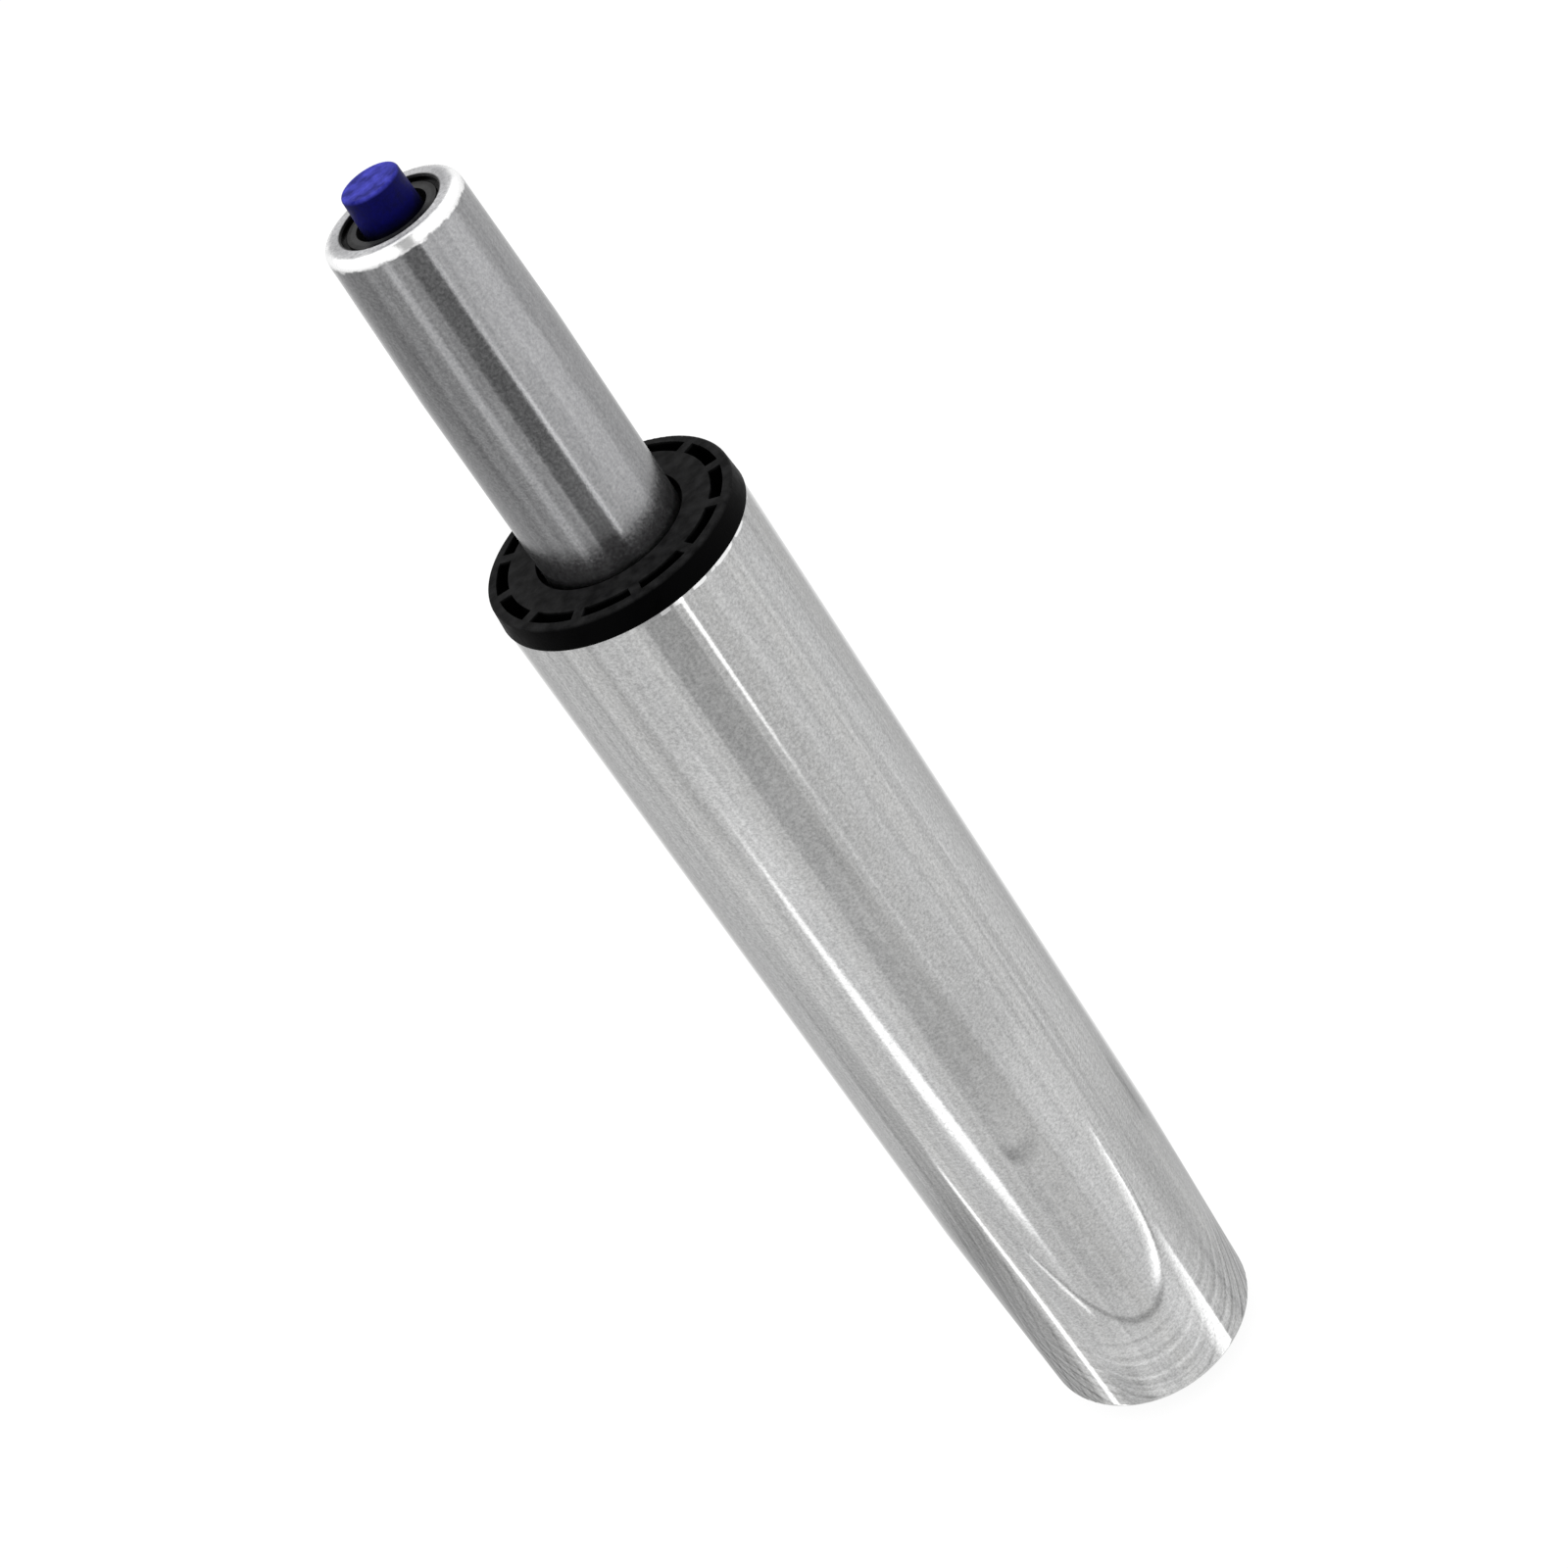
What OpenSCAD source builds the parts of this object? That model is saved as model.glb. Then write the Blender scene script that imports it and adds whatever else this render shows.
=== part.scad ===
// Gas lift cylinder for a swivel chair, shown fully lowered.
// Millimetres, +Z up. The origin is on the axis, at the lower end of the column tube.

/* [Column tube] */
// Outside diameter of the column tube
column_d = 50; // [46:0.5:60]
// Length of the column tube
column_length = 235; // [215:1:300]
// Wall thickness of the column tube
column_wall = 1.5; // [1.2:0.1:2]
// Height of the taper that wedges into the chair base
base_cone_length = 56; // [40:1:70]
// Half angle of the taper at both ends, in degrees
taper_angle = 1.4378; // [1:0.01:1.8]
// Outside radius of the rolled lower edge
column_edge_r = 2; // [2:0.1:2.6]
// Width of the rolled lip that carries the bottom plate
column_lip = 2.2; // [1.8:0.1:4]

/* [Guide sleeve and collar] */
// Length of the sleeve inside the column tube
sleeve_length = 75; // [60:1:80]
// Height of the collar on top of the column tube
collar_height = 4.8; // [4:0.1:8]
// How far the collar's lower edge stands out past the column tube
collar_overhang = 0.3; // [0.1:0.1:1]
// How much narrower the collar's top edge is than its lower edge, on the radius
collar_draft = 0.4; // [0.2:0.1:0.8]
// Edge radius of the collar's top
collar_edge_r = 0.5; // [0.3:0.1:1]
// Number of moulding pockets round the collar
pocket_count = 12; // [8:1:16]
// Radial width of a moulding pocket
pocket_width = 2.5; // [1.5:0.1:3]
// Width of the rib between two pockets
rib_width = 2.1; // [1.4:0.1:3]
// Collar material between the pockets and the column's inside wall
pocket_rim = 0.4; // [0.2:0.1:1]
// Wall that the gas tube runs in
guide_wall = 2.2; // [1.8:0.1:2.6]
// Wall on the outside of the sleeve's lower cores
core_wall = 2; // [1.6:0.1:2.6]
// Height of each bearing land in the sleeve's bore
land_height = 20; // [12:1:26]
// Radial gap between the gas tube and the collar's mouth
mouth_gap = 1; // [0.6:0.1:1.5]
// Depth of the collar's mouth
mouth_depth = 3; // [2:0.1:4]
// Radial gap between the gas tube and the bore between the lands
bore_relief = 0.6; // [0.3:0.1:0.9]
// Thickness of the closed ring at the foot of the ribs
foot_ring = 3; // [2:0.5:6]
// Solid height between the sleeve's lower cores and the column tube's top edge
core_roof = 3; // [2:0.5:6]

/* [Gas tube] */
// Outside diameter of the gas tube
tube_d = 28; // [26:0.5:30]
// Wall thickness of the gas tube
tube_wall = 1.5; // [1.2:0.1:1.8]
// Height of the gas tube's rim above the column tube when lowered
tube_exposed = 78; // [60:1:100]
// Height of the taper that wedges into the seat plate
seat_cone_length = 32; // [24:1:45]
// Outside radius of the gas tube's rolled edges
tube_edge_r = 2; // [2:0.1:2.4]
// Diameter of the opening in the gas tube's top
top_opening_d = 19; // [17:0.5:21]
// Diameter of the opening in the gas tube's foot
foot_opening_d = 18; // [15:0.5:20]
// Height that the gas tube rises
stroke = 120; // [80:1:120]
// Width of the gas passage round the inner tube
gas_passage = 1.5; // [1:0.1:1.8]
// Wall thickness of the inner tube
inner_wall = 1; // [0.8:0.1:1.4]

/* [Release valve] */
// Diameter of the button where it leaves the closure disc
button_d = 11.4; // [10.5:0.1:13]
// Diameter of the button's top
button_top_d = 11; // [8:0.1:11]
// Height of the button above the closure disc
button_height = 7; // [5:0.5:10]
// Edge radius of the button's top
button_edge_r = 0.6; // [0.3:0.1:1]
// Radial gap between the button and the closure disc
button_gap = 1.1; // [0.5:0.1:1.3]
// How far the button's flange reaches out
flange_reach = 1.9; // [1.7:0.1:2.2]
// Thickness of the button's flange
flange_thickness = 2.7; // [2:0.1:3.5]
// Travel of the button
press_travel = 2.5; // [2:0.1:3]
// Thickness of the closure disc's flange
closure_thickness = 3; // [2:0.1:4]
// Depth of the closure disc's top below the gas tube's rim
recess_depth = 0.7; // [0.4:0.1:1.2]
// Radial gap between the closure disc's middle and the opening in the gas tube's top
opening_gap = 0.8; // [0.3:0.1:1]
// Diameter of the valve pin
pin_d = 4; // [3.4:0.1:4.6]
// How far the valve pin's head reaches out
pin_head_reach = 1.2; // [0.8:0.1:1.6]
// Depth of the valve pin's gas neck
pin_neck_depth = 0.4; // [0.2:0.1:0.8]
// Diameter of the seal chamber round the valve pin
chamber_d = 7.6; // [7:0.1:9]
// Height of the lantern ring between the pin seals
lantern_height = 6.2; // [5:0.1:8]
// Height of the cap ring above the pin seals
cap_height = 3; // [2:0.1:4]
// Floor of the valve body under the seal chamber
valve_floor = 3; // [2:0.1:5]
// Length of the valve body's spigot in the inner tube
valve_spigot = 7; // [6:0.5:10]
// Height of the waist where gas enters the valve body
valve_waist = 5; // [4:0.5:6]
// Diameter of a gas hole
gas_hole_d = 1.6; // [1:0.1:2]

/* [Piston and rod] */
// Diameter of the piston rod
rod_d = 10; // [9.4:0.1:11]
// Diameter of the rod's lower neck, which turns in the bearing
neck_d = 8; // [7:0.1:8.4]
// Diameter of the rod's upper stud, which holds the piston
stud_d = 6; // [5:0.1:7]
// Height of the piston
piston_height = 12; // [9:0.5:16]
// Height of the piston nut
nut_height = 5; // [4:0.5:7]
// Width of the piston nut across its corners
nut_d = 11.5; // [10:0.5:13]
// Stud and rod length that shows past the nut
stud_end = 1.5; // [1:0.5:3]
// Height of the rod guide below its spigot
guide_height = 13.5; // [10:0.5:18]
// Height of the rod guide's spigot in the inner tube
guide_spigot = 6; // [4:0.5:9]
// Height of the rod seal
rod_seal_height = 6; // [4:0.5:8]
// Height of the backing ring above the rod seal
backing_height = 3; // [2:0.5:5]

/* [Bearing and bumper] */
// Thickness of the bottom plate
plate_thickness = 3; // [2.5:0.1:4]
// Depth of the seat for the lower race in the bottom plate
race_seat = 0.6; // [0.4:0.1:1]
// Radial gap between the rod's neck and the bottom plate
plate_gap = 0.5; // [0.3:0.1:0.8]
// Outside diameter of the bearing races
race_d = 24; // [22:0.5:26]
// Thickness of each bearing race
race_thickness = 2.5; // [2:0.1:3.5]
// Diameter of a bearing ball
ball_d = 4.76; // [4.4:0.02:5]
// Number of bearing balls
ball_count = 9; // [6:1:9]
// Diameter of the circle through the ball centres
ball_circle_d = 17; // [16.5:0.1:17.5]
// Free height between the races
race_gap = 4; // [3.6:0.1:4.2]
// Thickness of the ball cage
cage_thickness = 1.2; // [0.8:0.1:1.8]
// Thickness of the washer under the rod's shoulder
thrust_thickness = 2; // [1.5:0.1:3]
// Length of the rubber bumper
bumper_length = 32; // [24:1:36]
// Outside diameter of the rubber bumper
bumper_d = 23; // [20:0.5:24]
// Number of grooves round the bumper
bumper_grooves = 3; // [1:1:3]
// Radius of a bumper groove
groove_r = 3; // [2:0.1:3.4]
// How far a bumper groove's centre lies outside the bumper
groove_out = 1; // [0.5:0.1:1.5]

/* [Retaining clip] */
// Thickness of the washer above the clip
rod_washer_thickness = 1; // [0.8:0.1:1.5]
// Diameter of the washer above the clip
rod_washer_d = 18; // [15:0.5:20]
// Thickness of the clip
clip_thickness = 1.2; // [0.8:0.1:1.6]
// Outside diameter of the clip
clip_d = 15; // [13:0.5:17]
// Width of the clip's open side
clip_mouth = 5.8; // [5:0.1:6.2]
// Radius of the reliefs that make the clip's grips springy
clip_relief_r = 1.9; // [1.2:0.1:2.2]
// Turn from the clip's open side to each relief, in degrees
clip_relief_turn = 112; // [100:1:130]
// Diameter of the rod's groove for the clip
clip_groove_d = 6.4; // [5.6:0.1:6.6]
// Length of the rod below the clip
rod_tail = 4; // [2:0.5:6]

/* [Fits] */
// Radial running clearance between parts that slide or turn
running_fit = 0.05; // [0.02:0.01:0.08]
// Radial clearance of parts that are pushed together
push_fit = 0.1; // [0.05:0.01:0.15]
// Gap left at a stop, such as the bumper or the clip
stop_gap = 0.3; // [0.2:0.05:0.5]
// Gap between a ball and a race
ball_gap = 0.08; // [0.05:0.01:0.12]
// Section diameter of the O-rings on the valve body and the rod guide
ring_d = 1.8; // [1.5:0.1:2]
// Section diameter of the piston's O-ring
piston_ring_d = 2.6; // [2:0.1:3]
// Side play of an O-ring in its groove
ring_play = 0.2; // [0.1:0.05:0.4]
// Small edge break on turned parts
edge_break = 0.4; // [0.2:0.05:0.5]

/* [Hidden] */
$fn = 96;
tube_fn = 180;
ring_fn = 48;
hole_fn = 32;

// How far a cut runs past the face that it opens
past = 1;
// Rounding of ends that lead in, and of rubber edges
lead_in = 2 * edge_break;

// Column tube
column_r = column_d / 2;
column_inner_r = column_r - column_wall;
base_r = column_r - base_cone_length * tan(taper_angle);
plate_r = base_r - column_wall + column_wall * tan(taper_angle) - push_fit;
lip_r = plate_r + push_fit - column_lip;

// Gas tube and inner tube, from the outside in
tube_r = tube_d / 2;
tube_inner_r = tube_r - tube_wall;
rim_z = column_length + tube_exposed;
seat_r = tube_r - seat_cone_length * tan(taper_angle);
seat_inner_r = seat_r - tube_wall + tube_wall * tan(taper_angle);
inner_r = tube_inner_r - gas_passage;
bore_r = inner_r - inner_wall;

// Guide sleeve
sleeve_r = column_inner_r - running_fit;
sleeve_z = column_length - sleeve_length;
guide_bore_r = tube_r + running_fit;
collar_r = column_r + collar_overhang;
collar_z = column_length + collar_height;
pocket_outer_r = column_inner_r - pocket_rim;
pocket_inner_r = pocket_outer_r - pocket_width;
pocket_z = sleeve_z + foot_ring;
core_inner_r = guide_bore_r + guide_wall;
core_outer_r = pocket_inner_r - core_wall;
core_top_z = column_length - core_roof;

// Bottom plate, bearing and bumper, stacked from the column's rolled lip
plate_z = column_wall;
lower_race_z = plate_z + plate_thickness - race_seat;
upper_race_z = lower_race_z + race_thickness + race_gap;
cage_z = lower_race_z + race_thickness + race_gap / 2 - cage_thickness / 2;
ball_z = lower_race_z + race_thickness + race_gap / 2;
ball_r = ball_d / 2;
track_r = ball_r + ball_gap;
thrust_z = upper_race_z + race_thickness;
shoulder_z = thrust_z + thrust_thickness;
bumper_z = shoulder_z;
tube_z = bumper_z + bumper_length + stop_gap;

// Rod, from the shoulder up to the piston and down to the clip
rod_r = rod_d / 2;
neck_r = neck_d / 2;
stud_r = stud_d / 2;
guide_z = tube_z + tube_wall;
spigot_z = guide_z + guide_height;
rod_seal_z = spigot_z + guide_spigot;
backing_z = rod_seal_z + rod_seal_height;
piston_z = backing_z + backing_height + stroke + stop_gap;
nut_z = piston_z + piston_height;
rod_top_z = nut_z + nut_height + stud_end;
rod_washer_z = plate_z - stop_gap - rod_washer_thickness;
clip_z = rod_washer_z - clip_thickness;
rod_end_z = clip_z - rod_tail;
plate_hole_r = neck_r + plate_gap;

// Valve, hung from the gas tube's rim
floor_z = rim_z - tube_wall;
disc_top_z = rim_z - recess_depth;
valve_top_z = floor_z - closure_thickness;
flange_r = button_d / 2 + flange_reach;
flange_z = valve_top_z - stop_gap - flange_thickness;
cavity_r = flange_r + stop_gap;
cavity_z = flange_z - press_travel - stop_gap;
pin_r = pin_d / 2;
chamber_r = chamber_d / 2;
pin_ring_d = chamber_r - pin_r - 2 * running_fit;
lantern_top_z = cavity_z - cap_height - pin_ring_d - ring_play;
lantern_z = lantern_top_z - lantern_height;
chamber_z = lantern_z - pin_ring_d - ring_play;
valve_z = chamber_z - valve_floor;
valve_shoulder_z = valve_z + valve_spigot;
valve_head_z = valve_shoulder_z + valve_waist;
valve_head_r = seat_inner_r - push_fit;
button_top_z = disc_top_z + button_height;
pin_top_z = floor_z;
pin_head_r = pin_r + pin_head_reach;
pin_head_z = valve_z - stop_gap - press_travel;

// Edge radius of what seats in the gas tube's rolled ends
seat_edge = seat_round(tube_edge_r, tube_wall);

// O-rings: outside radius and middle height
piston_ring_r = bore_r - running_fit / 2;
guide_ring_r = tube_inner_r - running_fit / 2;
guide_ring_z = guide_z + guide_height / 2 + seat_edge / 2;
spigot_ring_r = bore_r - running_fit / 2;
spigot_ring_z = valve_z + valve_spigot / 2;
head_ring_r = valve_head_r + push_fit / 2;
head_ring_z = valve_head_z + ring_d;

// The inside radius of a rolled edge, and the edge radius of a part that seats in it
function inner_round(outer_round, wall) = outer_round - wall + edge_break;
function seat_round(outer_round, wall) = inner_round(outer_round, wall) + edge_break;

// The sharp bit outside a rounded corner, to be cut away. from and to are the directions
// of the corner's two edges.
module corner(at, r, from, to) {
    half = (to - from) / 2;
    middle = (to + from) / 2;
    centre = at + r / sin(half) * [cos(middle), sin(middle)];
    margin = r / 2;
    tip = at - margin / sin(half) * [cos(middle), sin(middle)];
    side_a = at + r / tan(half) * [cos(from), sin(from)];
    side_b = at + r / tan(half) * [cos(to), sin(to)];
    difference() {
        polygon([centre, side_a + margin / r * (side_a - centre), tip,
                 side_b + margin / r * (side_b - centre)]);
        translate(centre) circle(r);
    }
}

// A flat ring with its outside edges broken, by low at the bottom and high at the top
module ring(inner, outer, z, height, low = edge_break, high = edge_break) {
    rotate_extrude() difference() {
        translate([inner, z]) square([outer - inner, height]);
        corner([outer, z], low, 90, 180);
        corner([outer, z + height], high, 180, 270);
    }
}

// A plain ring, used for cuts
module tube(inner, outer, z, height) {
    rotate_extrude() translate([inner, z]) square([outer - inner, height]);
}

// An O-ring round the axis, at its outside radius and middle height
module o_ring(outer, section_d, z) {
    rotate_extrude() translate([outer - section_d / 2, z]) circle(section_d / 2, $fn = ring_fn);
}

// The groove for that O-ring
module ring_groove(outer, section_d, z) {
    height = section_d + ring_play;
    tube(outer - section_d - running_fit, outer + past, z - height / 2, height);
}

module spokes(count, width, reach, z, height) {
    for (i = [0 : count - 1])
        rotate(i * 360 / count) translate([0, -width / 2, z]) cube([reach, width, height]);
}

// Steel column tube: straight above, tapered below, its lower edge rolled in
module column_tube() {
    inner_base_r = plate_r + push_fit;
    color([0.78, 0.78, 0.8]) rotate_extrude($fn = tube_fn) difference() {
        polygon([[0, 0], [base_r, 0], [column_r, base_cone_length], [column_r, column_length],
                 [0, column_length]]);
        corner([base_r, 0], column_edge_r, 90 - taper_angle, 180);
        difference() {
            polygon([[0, column_wall], [inner_base_r, column_wall], [column_inner_r, base_cone_length],
                     [column_inner_r, column_length + past], [0, column_length + past]]);
            corner([inner_base_r, column_wall], inner_round(column_edge_r, column_wall),
                   90 - taper_angle, 180);
        }
        translate([0, -past]) square([lip_r, column_wall + 2 * past]);
        corner([lip_r, 0], edge_break, 0, 90);
    }
}

// The guide sleeve's revolved shape, before its pockets are cut
module sleeve_profile() {
    top_r = collar_r - collar_draft;
    draft_angle = atan(collar_draft / collar_height);
    difference() {
        union() {
            translate([guide_bore_r, sleeve_z]) square([sleeve_r - guide_bore_r, sleeve_length]);
            polygon([[guide_bore_r, column_length], [collar_r, column_length], [top_r, collar_z],
                     [guide_bore_r, collar_z]]);
        }
        corner([top_r, collar_z], collar_edge_r, 180, 270 + draft_angle);
        corner([sleeve_r, sleeve_z], edge_break, 90, 180);
        translate([0, collar_z - mouth_depth]) square([tube_r + mouth_gap, mouth_depth + past]);
        translate([0, sleeve_z + land_height])
            square([tube_r + bore_relief, sleeve_length - mouth_depth - 2 * land_height]);
    }
}

// Plastic guide sleeve, moulded in one with the collar: ribs outside, cores from below
module guide_sleeve() {
    color([0.08, 0.08, 0.085]) difference() {
        rotate_extrude($fn = tube_fn) sleeve_profile();
        difference() {
            union() {
                tube(pocket_inner_r, pocket_outer_r, pocket_z, collar_z - pocket_z + past);
                tube(pocket_inner_r, sleeve_r + past, pocket_z, column_length - pocket_z);
            }
            spokes(pocket_count, rib_width, collar_r, pocket_z - past, collar_z - pocket_z + 3 * past);
        }
        difference() {
            tube(core_inner_r, core_outer_r, sleeve_z - past, core_top_z - sleeve_z + past);
            spokes(pocket_count / 2, rib_width, collar_r, sleeve_z - 2 * past,
                   core_top_z - sleeve_z + 3 * past);
        }
    }
}

// Steel plate that the rolled lip carries, with a seat for the lower race
module bottom_plate() {
    color([0.55, 0.55, 0.57]) difference() {
        ring(plate_hole_r, plate_r, plate_z, plate_thickness,
             low = seat_round(column_edge_r, column_wall));
        translate([0, 0, lower_race_z]) cylinder(r = race_d / 2 + push_fit, h = plate_thickness);
    }
}

// A race is a ring with a ball track in one face
module race(inner, z, track_z) {
    difference() {
        ring(inner, race_d / 2, z, race_thickness);
        rotate_extrude() translate([ball_circle_d / 2, track_z]) circle(track_r);
    }
}

module lower_race() {
    color([0.7, 0.7, 0.72]) race(plate_hole_r, lower_race_z, ball_z);
}

module upper_race() {
    color([0.7, 0.7, 0.72]) race(neck_r + running_fit, upper_race_z, ball_z);
}

// Cage that keeps the balls apart
module bearing_cage() {
    margin = (race_d - ball_circle_d) / 2 - ball_r;
    color([0.62, 0.52, 0.3]) difference() {
        tube(ball_circle_d / 2 - ball_r - margin / 2, race_d / 2 - margin / 2, cage_z, cage_thickness);
        for (i = [0 : ball_count - 1])
            rotate(i * 360 / ball_count) translate([ball_circle_d / 2, 0, cage_z - past])
                cylinder(r = track_r, h = cage_thickness + 2 * past);
    }
}

module bearing_balls() {
    color([0.82, 0.82, 0.84]) for (i = [0 : ball_count - 1])
        rotate(i * 360 / ball_count) translate([ball_circle_d / 2, 0, ball_z]) sphere(ball_r);
}

module thrust_washer() {
    color([0.6, 0.6, 0.62]) ring(neck_r + running_fit, race_d / 2, thrust_z, thrust_thickness);
}

// Rubber bumper round the rod, waisted so that it folds as the gas tube lands on it
module bumper() {
    pitch = bumper_length / (bumper_grooves + 1);
    color([0.12, 0.12, 0.12]) rotate_extrude() difference() {
        translate([rod_r + stop_gap, bumper_z])
            square([bumper_d / 2 - rod_r - stop_gap, bumper_length]);
        for (i = [1 : bumper_grooves])
            translate([bumper_d / 2 + groove_out, bumper_z + i * pitch]) circle(groove_r);
        corner([bumper_d / 2, bumper_z], lead_in, 90, 180);
        corner([bumper_d / 2, bumper_z + bumper_length], lead_in, 180, 270);
    }
}

// Piston rod: neck and clip groove below, stud above
module piston_rod() {
    color([0.75, 0.75, 0.77]) difference() {
        rotate_extrude() difference() {
            union() {
                translate([0, rod_end_z]) square([neck_r, shoulder_z - rod_end_z]);
                translate([0, shoulder_z]) square([rod_r, piston_z - shoulder_z]);
                translate([0, piston_z]) square([stud_r, rod_top_z - piston_z]);
            }
            corner([neck_r, rod_end_z], lead_in, 90, 180);
            corner([stud_r, rod_top_z], edge_break, 180, 270);
        }
        tube(clip_groove_d / 2, neck_r + past, clip_z - running_fit, clip_thickness + 2 * running_fit);
    }
}

module piston() {
    color([0.66, 0.66, 0.68]) difference() {
        ring(stud_r + running_fit, bore_r - push_fit, piston_z, piston_height);
        ring_groove(piston_ring_r, piston_ring_d, piston_z + piston_height / 2);
    }
}

module piston_seal() {
    color([0.1, 0.1, 0.1]) o_ring(piston_ring_r, piston_ring_d, piston_z + piston_height / 2);
}

module piston_nut() {
    color([0.6, 0.6, 0.62]) difference() {
        translate([0, 0, nut_z]) cylinder(d = nut_d, h = nut_height, $fn = 6);
        translate([0, 0, nut_z - past]) cylinder(r = stud_r + running_fit, h = nut_height + 2 * past);
    }
}

module rod_washer() {
    color([0.6, 0.6, 0.62])
        ring(neck_r + running_fit, rod_washer_d / 2, rod_washer_z, rod_washer_thickness,
             edge_break / 2, edge_break / 2);
}

// Spring clip, open on one side, that keeps the rod in the bottom plate
module retaining_clip() {
    grip_r = clip_groove_d / 2 + running_fit;
    color([0.35, 0.35, 0.37]) translate([0, 0, clip_z]) linear_extrude(clip_thickness) difference() {
        circle(clip_d / 2);
        circle(grip_r);
        translate([0, -clip_mouth / 2]) square([clip_d, clip_mouth]);
        for (side = [-1, 1]) rotate(side * clip_relief_turn) translate([grip_r, 0]) circle(clip_relief_r);
    }
}

// Steel gas tube: tapered top, both ends rolled in over what they hold
module pressure_tube() {
    foot_r = foot_opening_d / 2;
    opening_r = top_opening_d / 2;
    cone_z = rim_z - seat_cone_length;
    inner_r = inner_round(tube_edge_r, tube_wall);
    color([0.72, 0.72, 0.75]) rotate_extrude($fn = tube_fn) difference() {
        polygon([[0, tube_z], [tube_r, tube_z], [tube_r, cone_z], [seat_r, rim_z], [0, rim_z]]);
        corner([tube_r, tube_z], tube_edge_r, 90, 180);
        corner([seat_r, rim_z], tube_edge_r, 180, 270 + taper_angle);
        difference() {
            polygon([[0, guide_z], [tube_inner_r, guide_z], [tube_inner_r, cone_z],
                     [seat_inner_r, floor_z], [0, floor_z]]);
            corner([tube_inner_r, guide_z], inner_r, 90, 180);
            corner([seat_inner_r, floor_z], inner_r, 180, 270 + taper_angle);
        }
        translate([0, floor_z - past]) square([opening_r, tube_wall + 2 * past]);
        translate([0, tube_z - past]) square([foot_r, tube_wall + 2 * past]);
        corner([opening_r, rim_z], edge_break, 270, 360);
        corner([foot_r, tube_z], edge_break, 0, 90);
    }
}

// Inner tube that the piston runs in, held between the rod guide and the valve body
module inner_tube() {
    color([0.7, 0.7, 0.72]) tube(bore_r, inner_r, spigot_z, valve_shoulder_z - spigot_z);
}

module rod_guide() {
    color([0.74, 0.62, 0.36]) difference() {
        union() {
            ring(rod_r + running_fit, tube_inner_r - push_fit, guide_z, guide_height,
                 low = seat_edge);
            tube(rod_r + running_fit, bore_r - push_fit, spigot_z - past, guide_spigot + past);
        }
        ring_groove(guide_ring_r, ring_d, guide_ring_z);
    }
}

module rod_guide_seal() {
    color([0.1, 0.1, 0.1]) o_ring(guide_ring_r, ring_d, guide_ring_z);
}

// Lip seal round the rod, its groove open towards the gas
module rod_seal() {
    middle = (rod_r + bore_r) / 2;
    color([0.1, 0.1, 0.1]) rotate_extrude() difference() {
        translate([rod_r + running_fit, rod_seal_z])
            square([bore_r - push_fit - rod_r - running_fit, rod_seal_height]);
        polygon([[middle - edge_break, rod_seal_z + rod_seal_height / 2],
                 [middle + edge_break, rod_seal_z + rod_seal_height / 2],
                 [middle + lead_in, rod_seal_z + rod_seal_height + past],
                 [middle - lead_in, rod_seal_z + rod_seal_height + past]]);
    }
}

module backing_ring() {
    color([0.85, 0.84, 0.8]) ring(rod_r + running_fit, bore_r - push_fit, backing_z, backing_height);
}

// Valve body: spigot in the inner tube, waist with gas holes, head with the button's cavity
module valve_body() {
    gas_z = valve_shoulder_z + valve_waist / 2;
    color([0.74, 0.62, 0.36]) difference() {
        union() {
            ring(pin_r + running_fit, bore_r - push_fit, valve_z, valve_spigot + past);
            tube(pin_r + running_fit, inner_r, valve_shoulder_z, valve_waist);
            ring(pin_r + running_fit, valve_head_r, valve_head_z, valve_top_z - valve_head_z);
        }
        translate([0, 0, chamber_z]) cylinder(r = chamber_r, h = valve_top_z - chamber_z + past);
        translate([0, 0, cavity_z]) cylinder(r = cavity_r, h = valve_top_z - cavity_z + past);
        ring_groove(spigot_ring_r, ring_d, spigot_ring_z);
        ring_groove(head_ring_r, ring_d, head_ring_z);
        for (turn = [0, 90]) rotate(turn) translate([0, 0, gas_z]) rotate([0, 90, 0])
            cylinder(d = gas_hole_d, h = 2 * tube_r, center = true, $fn = hole_fn);
    }
}

module valve_body_seals() {
    color([0.1, 0.1, 0.1]) {
        o_ring(spigot_ring_r, ring_d, spigot_ring_z);
        o_ring(head_ring_r, ring_d, head_ring_z);
    }
}

module pin_seals() {
    color([0.1, 0.1, 0.1]) for (z = [chamber_z, lantern_top_z])
        o_ring(chamber_r - running_fit, pin_ring_d, z + (pin_ring_d + ring_play) / 2);
}

// Lantern ring between the pin seals, and the cap ring above them
module seal_spacers() {
    color([0.85, 0.84, 0.8]) {
        difference() {
            tube(pin_r + running_fit, chamber_r - running_fit, lantern_z, lantern_height);
            for (turn = [0, 90]) rotate(turn) translate([0, 0, lantern_z + lantern_height / 2])
                rotate([0, 90, 0]) cylinder(d = gas_hole_d, h = 2 * chamber_d, center = true, $fn = hole_fn);
        }
        tube(pin_r + running_fit, chamber_r - running_fit, cavity_z - cap_height, cap_height);
    }
}

// Disc round the button: its flange is under the gas tube's rim, its middle stands in the opening
module closure_disc() {
    hole_r = button_d / 2 + button_gap;
    middle_r = top_opening_d / 2 - opening_gap;
    color([0.25, 0.25, 0.26]) rotate_extrude() difference() {
        union() {
            translate([hole_r, valve_top_z]) square([valve_head_r - hole_r, closure_thickness]);
            translate([hole_r, valve_top_z]) square([middle_r - hole_r, disc_top_z - valve_top_z]);
        }
        corner([valve_head_r, valve_top_z], edge_break, 90, 180);
        corner([valve_head_r, floor_z], seat_edge, 180, 270);
        corner([middle_r, disc_top_z], edge_break / 2, 180, 270);
    }
}

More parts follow.
